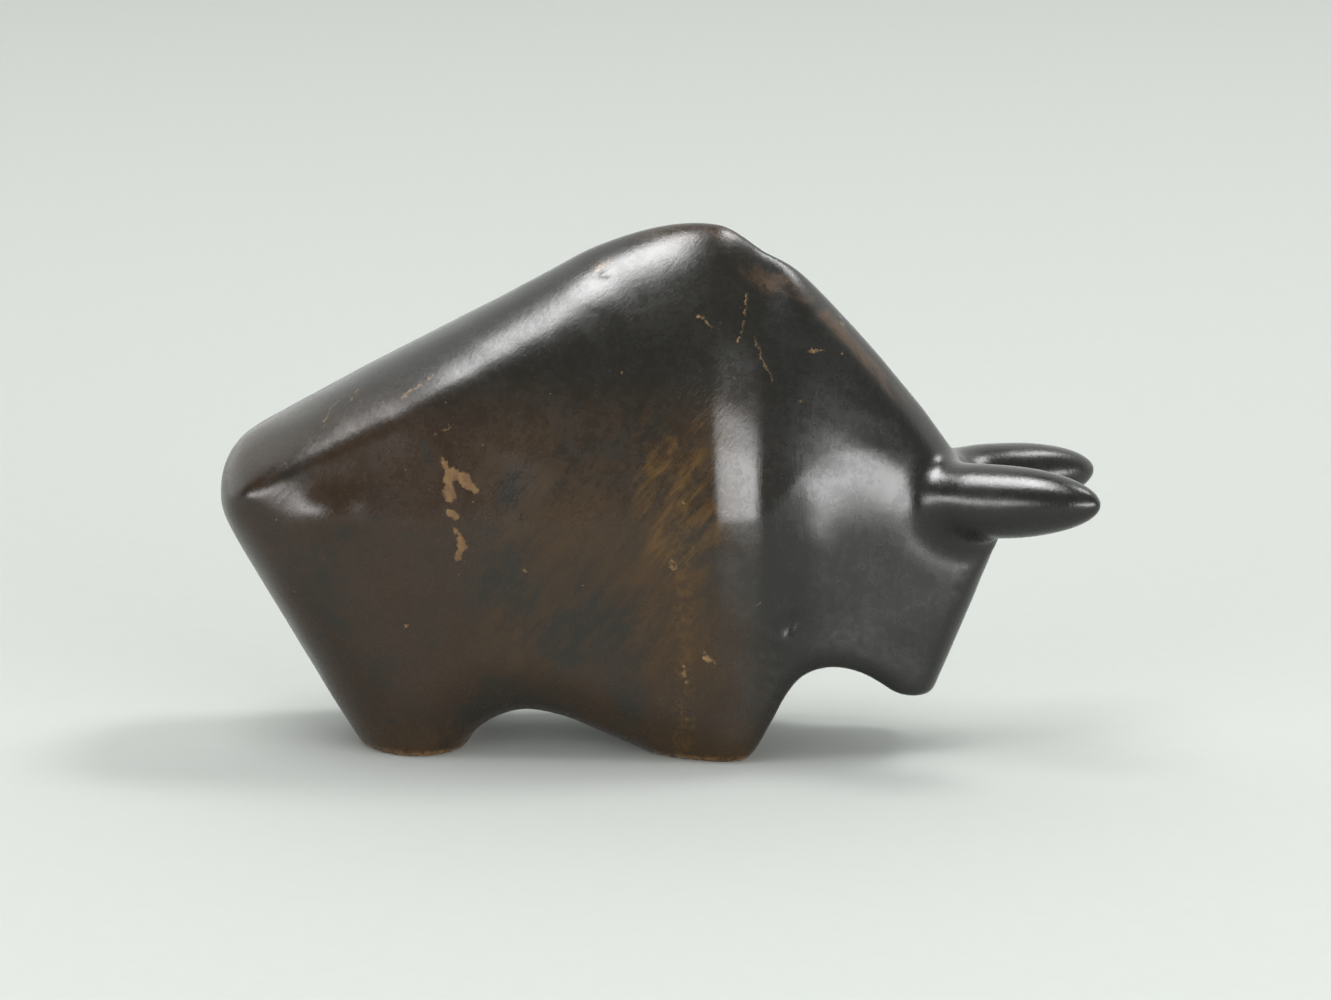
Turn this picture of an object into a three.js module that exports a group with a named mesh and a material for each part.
// Small standing bull, one solid bronze casting.
// Millimetres. +X towards the horns, +Y the bull's left, +Z up, feet on Z = 0.
//
// The form is one closed surface, shape(x, y, z) = 0, put together from a few planes and curves that are each rounded
// into the next: a straight rump face, a straight back ramp, a humped shoulder, a narrow flat neck strip, leaning neck
// and head sides, a sloping face, an arch under the belly, a second arch under the throat, and two bullet-shaped horns.
// Everything is worked out from the named sizes below and mirrored about the middle plane.

import * as THREE from "three";

// ---- named sizes, mm and degrees -----------------------------------------------------------------------------------
const HALF_WIDTH = 19.5;          // widest half width, at the belt line
const BELT_Z = 35.5;              // height of the belt line
const SIDE_LEAN_LOW = 4.5;        // lower side leans in towards the soles
const UPPER_LEAN = 5.9;           // upper side leans in from the belt
const BELT_SOFT = 0.50;

const RUMP_X = -67.1;             // rump face, where it passes the reference height
const RUMP_Z = 38.5;
const RUMP_ANGLE = 30.2;          // rump face, off upright, running in towards the rear foot
const RUMP_TOP_R = 13.5;          // rounding from the rump face into the back
const RUMP_PLAN_R = 16.0;         // rounding from the rump face into the sides

const RAMP_X = -53.0;             // back ramp through this point
const RAMP_Z = 50.8;
const RAMP_ANGLE = 28.1;
const BROW_X = 6.0;               // steeper plane that bends the ramp over into the hump
const BROW_Z = 102.8;
const BROW_ANGLE = 57.0;
const BROW_SOFT = 32.0;
const NECK_X = 28.0;              // neck strip through this point
const NECK_Z = 63.5;
const NECK_ANGLE = 45.9;          // downwards to the horns
const NECK_SOFT = 3.8;            // corner between hump and neck strip

// The back: a low crown, and a bevel along its edge that fans out from the hump towards the rump.
const ROOF = { rearR: 24.2, frontR: 34.4, span: [-45.0, -15.0] };
const BEVEL = { pitch: 0.82, span: [-55.5, -2.00], neckPitch: 1.3, neckSpan: [12, 26], rear: 8.5, hump: 2.97, humpX: 3.2, fan: 0.32, soft: 10.5, humpEdge: 2.2, neck: 5.6, neckSoft: 3.0, turn: 3.2 };
// The upper side, drawn in more and more towards the roof as the hump comes nearer.
const WALL = { depthRear: 19.0, depthFront: 32.0, depthSpan: [-50, 5], rear: 19.6, hump: 6.4, span: [-9.2, 19.1], neck: 17, neckSpan: [15, 29], soft: 24, power: 2.37 };
const EDGE = { rear: 3.0, hump: 3.5, neck: 5.0, humpSpan: [-14, 4], neckSpan: [4, 16] };

// Side of shoulder, neck and head seen from above: a soft step behind the shoulder, then bends [x, change of slope].
const SHOULDER = { clear: 1.2, drop: 3.8, span: [8.5, 16.5], bends: [[16, 0.14], [24.5, 0.46], [31, -0.34]], bendSoft: 0.9, soft: 5.0 };
// The crease along it rises towards the neck; above it the side leans in and curves inwards.
const CREASE = { z: [36.3, 40.0], span: [14, 26], above: 5.2, below: 2.8, radius: 95 };

const FACE_X = 50.0;              // face plane at the reference height
const FACE_Z = 31.0;
const FACE_ANGLE = 22.3;
const FACE_SOFT = 5.0;
const MUZZLE_Z = 8.5;             // underside of the muzzle
const MUZZLE_FROM_X = 24.0;

const THROAT = { chestX: 14.2, chestAngle: 27.2, top: 18.0, jawX: 23.1, jawAngle: 35.8, softBack: 10.0, softJaw: 7.1, edge: 3.0 };
const BELLY = { hindX: -27.8, hindZ: 3.0, hindAngle: 14.6, top: 6.3, foreX: -1.4, foreAngle: 23.9, softHind: 9.9, softFore: 2.0, edge: 9.7 };

const HORN = { root: [47.0, 7.2, 38.0], tip: [64.5, 13.7, 38.8], radius: 5.4, back: 8.0, soft: 4.5 };

const SOLE_SOFT = 0.6;            // small rounding round the flat soles
const CREST_SOFT = 0.5;           // keeps the middle plane smooth

const CELL = 2.38;                // facet size of the solid
const FIELD_MIN = [-72, -24, -3];
const FIELD_MAX = [72, 24, 84];

// ---- helpers ---------------------------------------------------------------------------------------------------------
const RAD = Math.PI / 180;

// Intersection of two half spaces with a rounded edge of width k, and the matching union.
function both(a, b, k) {
  const h = Math.max(k - Math.abs(a - b), 0) / k;
  return Math.max(a, b) + 0.25 * k * h * h;
}
function either(a, b, k) {
  return -both(-a, -b, k);
}
function ease(x, from, to) {
  const t = Math.min(Math.max((x - from) / (to - from), 0), 1);
  return t * t * (3 - 2 * t);
}
function mix(a, b, t) {
  return a + (b - a) * t;
}
// A nearly upright side plane, turned towards +X and leaning back, through (x0, half0, z0).
function sidePlane(x, a, z, s) {
  const t = s.turn * RAD;
  const l = s.lean * RAD;
  return (x - s.x) * Math.sin(t) * Math.cos(l) + (a - s.half) * Math.cos(t) * Math.cos(l) + (z - s.z) * Math.sin(l);
}

// ---- the parts of the surface ----------------------------------------------------------------------------------------
// Line of the back, and a rounder one that the upper sides follow.
function topSurface(x, z) {
  const ra = RAMP_ANGLE * RAD;
  const na = NECK_ANGLE * RAD;
  const ramp = -(x - RAMP_X) * Math.sin(ra) + (z - RAMP_Z) * Math.cos(ra);
  const neck = (x - NECK_X) * Math.sin(na) + (z - NECK_Z) * Math.cos(na);
  const ba = BROW_ANGLE * RAD;
  const brow = (x - BROW_X) * Math.sin(ba) + (z - BROW_Z) * Math.cos(ba);
  return { top: both(both(ramp, brow, BROW_SOFT), neck, NECK_SOFT), roundTop: both(ramp, neck, WALL.soft) };
}

function roof(x, a, top) {
  const radius = mix(ROOF.rearR, ROOF.frontR, ease(x, ...ROOF.span));
  const pitch = mix(BEVEL.pitch * ease(x, ...BEVEL.span), BEVEL.neckPitch, ease(x, ...BEVEL.neckSpan));
  const fan = either(BEVEL.rear, BEVEL.hump - BEVEL.fan * (x - BEVEL.humpX), BEVEL.soft);
  const least = mix(BEVEL.humpEdge, BEVEL.neck, ease(x, ...BEVEL.neckSpan));
  const start = both(least, fan, BEVEL.neckSoft) / BEVEL.turn;
  const t = a / BEVEL.turn - start;
  const bend = Math.max(t, 0) + Math.log1p(Math.exp(-Math.abs(t))) - Math.log1p(Math.exp(-start));
  const drop = (a * a) / (2 * radius) + pitch * BEVEL.turn * bend;
  const fall = Math.min(a / radius + pitch / (1 + Math.exp(-t)), 1.2);
  return (top + drop) / Math.hypot(1, fall);
}

function wall(x, a, z, top) {
  const steady = Math.tan(UPPER_LEAN * RAD);
  const depth = mix(WALL.depthRear, WALL.depthFront, ease(x, ...WALL.depthSpan));
  const half = mix(WALL.rear, WALL.hump, ease(x, ...WALL.span));
  const inset = HALF_WIDTH - mix(half, WALL.neck, ease(x, ...WALL.neckSpan));
  const v = Math.max(1 + top / depth, 0);
  const lean = steady + (inset * WALL.power * Math.max(v, 0.02) ** (WALL.power - 1)) / depth;
  return (a - HALF_WIDTH + steady * (z - BELT_Z) + inset * v ** WALL.power) / Math.hypot(1, lean);
}

function shoulder(x, a, z) {
  const [s0, s1] = SHOULDER.span;
  const t = Math.min(Math.max((x - s0) / (s1 - s0), 0), 1);
  let half = HALF_WIDTH + SHOULDER.clear - SHOULDER.drop * t * t * (3 - 2 * t);
  let run = (SHOULDER.drop * 6 * t * (1 - t)) / (s1 - s0);
  for (const [at, turn] of SHOULDER.bends) {
    const w = SHOULDER.bendSoft;
    const q = (x - at) / w;
    half -= turn * w * (Math.max(q, 0) + Math.log1p(Math.exp(-Math.abs(q))));
    run += turn / (1 + Math.exp(-q));
  }
  const u = z - mix(...CREASE.z, ease(x, ...CREASE.span));
  const above = Math.tan(CREASE.above * RAD);
  const below = Math.tan(CREASE.below * RAD);
  const over = Math.max(u, 0);
  const inward = above * over + (over * over) / (2 * CREASE.radius) + below * Math.min(u, 0);
  const lean = u > 0 ? above + over / CREASE.radius : below;
  return (a - half + inward) / Math.hypot(1, run, lean);
}

function horn(x, a, z) {
  const [rx, ry, rz] = HORN.root;
  const ax = [HORN.tip[0] - rx, HORN.tip[1] - ry, HORN.tip[2] - rz];
  const length = Math.hypot(...ax);
  const px = x - rx;
  const py = a - ry;
  const pz = z - rz;
  const t = (px * ax[0] + py * ax[1] + pz * ax[2]) / length;
  const off2 = Math.max(px * px + py * py + pz * pz - t * t, 0);
  const l = t > 0 ? length : HORN.back;
  const r = HORN.radius;
  const k0 = Math.sqrt((t * t) / (l * l) + off2 / (r * r)) + 1e-9;
  const k1 = Math.sqrt((t * t) / l ** 4 + off2 / r ** 4) + 1e-9;
  return (k0 * (k0 - 1)) / k1;
}

function throatArch(x, z) {
  const ca = THROAT.chestAngle * RAD;
  const ja = THROAT.jawAngle * RAD;
  const chest = -(x - THROAT.chestX) * Math.cos(ca) + z * Math.sin(ca);
  const ceiling = z - THROAT.top;
  const jaw = (x - THROAT.jawX) * Math.sin(ja) + (z - THROAT.top) * Math.cos(ja);
  return -both(both(chest, ceiling, THROAT.softBack), jaw, THROAT.softJaw);
}

function bellyArch(x, z) {
  const ha = BELLY.hindAngle * RAD;
  const fa = BELLY.foreAngle * RAD;
  const hind = -(x - BELLY.hindX) * Math.cos(ha) + (z - BELLY.hindZ) * Math.sin(ha);
  const ceiling = z - BELLY.top;
  const fore = (x - BELLY.foreX) * Math.sin(fa) + z * Math.cos(fa);
  return -both(both(hind, ceiling, BELLY.softHind), fore, BELLY.softFore);
}

function shape(x, y, z) {
  const a = Math.sqrt(y * y + CREST_SOFT * CREST_SOFT);
  const { top, roundTop } = topSurface(x, z);
  const back = roof(x, a, top);

  const low = sidePlane(x, a, z, { x: 0, half: HALF_WIDTH, z: BELT_Z, turn: 0, lean: -SIDE_LEAN_LOW });
  let side = both(wall(x, a, z, roundTop), low, BELT_SOFT);
  side = both(side, shoulder(x, a, z), SHOULDER.soft);

  const ru = RUMP_ANGLE * RAD;
  const rump = -(x - RUMP_X) * Math.cos(ru) - (z - RUMP_Z) * Math.sin(ru);
  const fa = FACE_ANGLE * RAD;
  const face = (x - FACE_X) * Math.cos(fa) - (z - FACE_Z) * Math.sin(fa);

  const edge = mix(EDGE.rear, EDGE.hump, ease(x, ...EDGE.humpSpan)) + (EDGE.neck - EDGE.hump) * ease(x, ...EDGE.neckSpan);
  let f = both(side, back, edge);
  f = both(f, both(both(side, rump, RUMP_PLAN_R), both(back, rump, RUMP_TOP_R), 1), 1);
  f = both(f, both(both(face, side, FACE_SOFT), both(face, top, FACE_SOFT), 0.5), 0.5);
  f = both(f, throatArch(x, z), THROAT.edge);
  f = both(f, Math.min(MUZZLE_Z - z, x - MUZZLE_FROM_X), 1.5);
  f = either(f, horn(x, a, z), HORN.soft);
  f = both(f, bellyArch(x, z), BELLY.edge);
  return both(f, -z, SOLE_SOFT);
}

// ---- facets: one point in each cell the surface passes through, set where the tangent planes round it meet ----------
function slope(x, y, z) {
  const e = 1e-3;
  const g = [
    shape(x + e, y, z) - shape(x - e, y, z),
    shape(x, y + e, z) - shape(x, y - e, z),
    shape(x, y, z + e) - shape(x, y, z - e),
  ].map((d) => d / (2 * e));
  const size = Math.max(Math.hypot(...g), 1e-6);
  return { size, n: g.map((c) => c / size) };
}

// Point near the mean of the crossings that lies closest to all of their tangent planes.
function meeting(crossings) {
  const mean = [0, 1, 2].map((c) => crossings.reduce((sum, q) => sum + q.p[c], 0) / crossings.length);
  const hold = 0.04 * crossings.length;
  const m = [[hold, 0, 0, 0], [0, hold, 0, 0], [0, 0, hold, 0]];
  for (const { p, n } of crossings) {
    const d = n[0] * (p[0] - mean[0]) + n[1] * (p[1] - mean[1]) + n[2] * (p[2] - mean[2]);
    for (let r = 0; r < 3; r++) {
      for (let c = 0; c < 3; c++) m[r][c] += n[r] * n[c];
      m[r][3] += n[r] * d;
    }
  }
  for (let r = 0; r < 3; r++) {
    for (let q = 0; q < 3; q++) {
      if (q === r) continue;
      const by = m[q][r] / m[r][r];
      for (let c = r; c < 4; c++) m[q][c] -= by * m[r][c];
    }
  }
  return mean.map((v, c) => v + Math.max(-0.6 * CELL, Math.min(0.6 * CELL, m[c][3] / m[c][c])));
}

function facets() {
  const ny = 2 * Math.ceil(FIELD_MAX[1] / CELL) + 1;
  const n = [Math.ceil((FIELD_MAX[0] - FIELD_MIN[0]) / CELL) + 1, ny, Math.ceil((FIELD_MAX[2] - FIELD_MIN[2]) / CELL) + 1];
  const origin = [FIELD_MIN[0], -((ny - 1) / 2) * CELL, -1.5 * CELL];
  const at = (i, j, k) => (i * n[1] + j) * n[2] + k;
  const node = (i, j, k) => [origin[0] + i * CELL, origin[1] + j * CELL, origin[2] + k * CELL];
  const field = new Float64Array(n[0] * n[1] * n[2]);
  for (let i = 0; i < n[0]; i++) {
    for (let j = 0; j < n[1]; j++) {
      for (let k = 0; k < n[2]; k++) field[at(i, j, k)] = shape(...node(i, j, k));
    }
  }

  // Where the surface crosses a grid edge, found by halving.
  const found = new Map();
  const crossing = (c0, axis) => {
    const key = 3 * at(...c0) + axis;
    if (found.has(key)) return found.get(key);
    const lo = node(...c0);
    const hi = lo.slice();
    hi[axis] += CELL;
    const flip = shape(...lo) < 0;
    for (let turn = 0; turn < 14; turn++) {
      const mid = lo.map((v, c) => 0.5 * (v + hi[c]));
      const end = shape(...mid) < 0 === flip ? lo : hi;
      end[axis] = mid[axis];
    }
    const p = lo.map((v, c) => 0.5 * (v + hi[c]));
    const q = { p, n: slope(...p).n };
    found.set(key, q);
    return q;
  };

  const index = new Int32Array(field.length).fill(-1);
  const points = [];
  for (let i = 0; i + 1 < n[0]; i++) {
    for (let j = 0; j + 1 < n[1]; j++) {
      for (let k = 0; k + 1 < n[2]; k++) {
        const crossings = [];
        for (let axis = 0; axis < 3; axis++) {
          for (let u = 0; u < 2; u++) {
            for (let v = 0; v < 2; v++) {
              const c0 = [i, j, k];
              c0[(axis + 1) % 3] += u;
              c0[(axis + 2) % 3] += v;
              const c1 = c0.slice();
              c1[axis] += 1;
              if (field[at(...c0)] < 0 !== field[at(...c1)] < 0) crossings.push(crossing(c0, axis));
            }
          }
        }
        if (!crossings.length) continue;
        const p = meeting(crossings);
        for (let turn = 0; turn < 3; turn++) {
          const { size, n: g } = slope(...p);
          const d = Math.max(-0.5, Math.min(0.5, shape(...p) / size));
          for (let c = 0; c < 3; c++) p[c] -= d * g[c];
        }
        if (Math.abs(p[2]) < 0.02) p[2] = 0;
        index[at(i, j, k)] = points.length / 3;
        points.push(...p);
      }
    }
  }

  const triangles = [];
  const point = (id) => new THREE.Vector3(points[3 * id], points[3 * id + 1], points[3 * id + 2]);
  const quad = (a, b, c, d) => {
    if (point(a).distanceTo(point(c)) <= point(b).distanceTo(point(d))) triangles.push(a, b, c, a, c, d);
    else triangles.push(a, b, d, b, c, d);
  };
  for (let i = 1; i + 1 < n[0]; i++) {
    for (let j = 1; j + 1 < n[1]; j++) {
      for (let k = 1; k + 1 < n[2]; k++) {
        const inside = field[at(i, j, k)] < 0;
        const ends = [at(i + 1, j, k), at(i, j + 1, k), at(i, j, k + 1)];
        for (let axis = 0; axis < 3; axis++) {
          if (inside === field[ends[axis]] < 0) continue;
          const du = [0, 0, 0];
          const dv = [0, 0, 0];
          du[(axis + 1) % 3] = 1;
          dv[(axis + 2) % 3] = 1;
          const cell = (u, v) => index[at(i - u * du[0] - v * dv[0], j - u * du[1] - v * dv[1], k - u * du[2] - v * dv[2])];
          const ring = [cell(1, 1), cell(0, 1), cell(0, 0), cell(1, 0)];
          if (!inside) ring.reverse();
          quad(...ring);
        }
      }
    }
  }

  // Bounding box centred on the middle, soles on the ground.
  let lo = Infinity;
  let hi = -Infinity;
  for (let i = 0; i < points.length; i += 3) {
    lo = Math.min(lo, points[i]);
    hi = Math.max(hi, points[i]);
  }
  for (let i = 0; i < points.length; i += 3) points[i] -= 0.5 * (lo + hi);
  return { points, triangles };
}

const { points, triangles } = facets();
const geometry = new THREE.BufferGeometry();
geometry.setAttribute("position", new THREE.Float32BufferAttribute(points, 3));
geometry.setIndex(triangles);
geometry.computeVertexNormals();

const bronze = new THREE.MeshStandardMaterial({ name: "dark_bronze", color: 0x2f251b, metalness: 0.9, roughness: 0.34 });
const bull = new THREE.Mesh(geometry, bronze);
bull.name = "bull";

const group = new THREE.Group();
group.name = "bull_sculpture";
group.add(bull);

export default group;
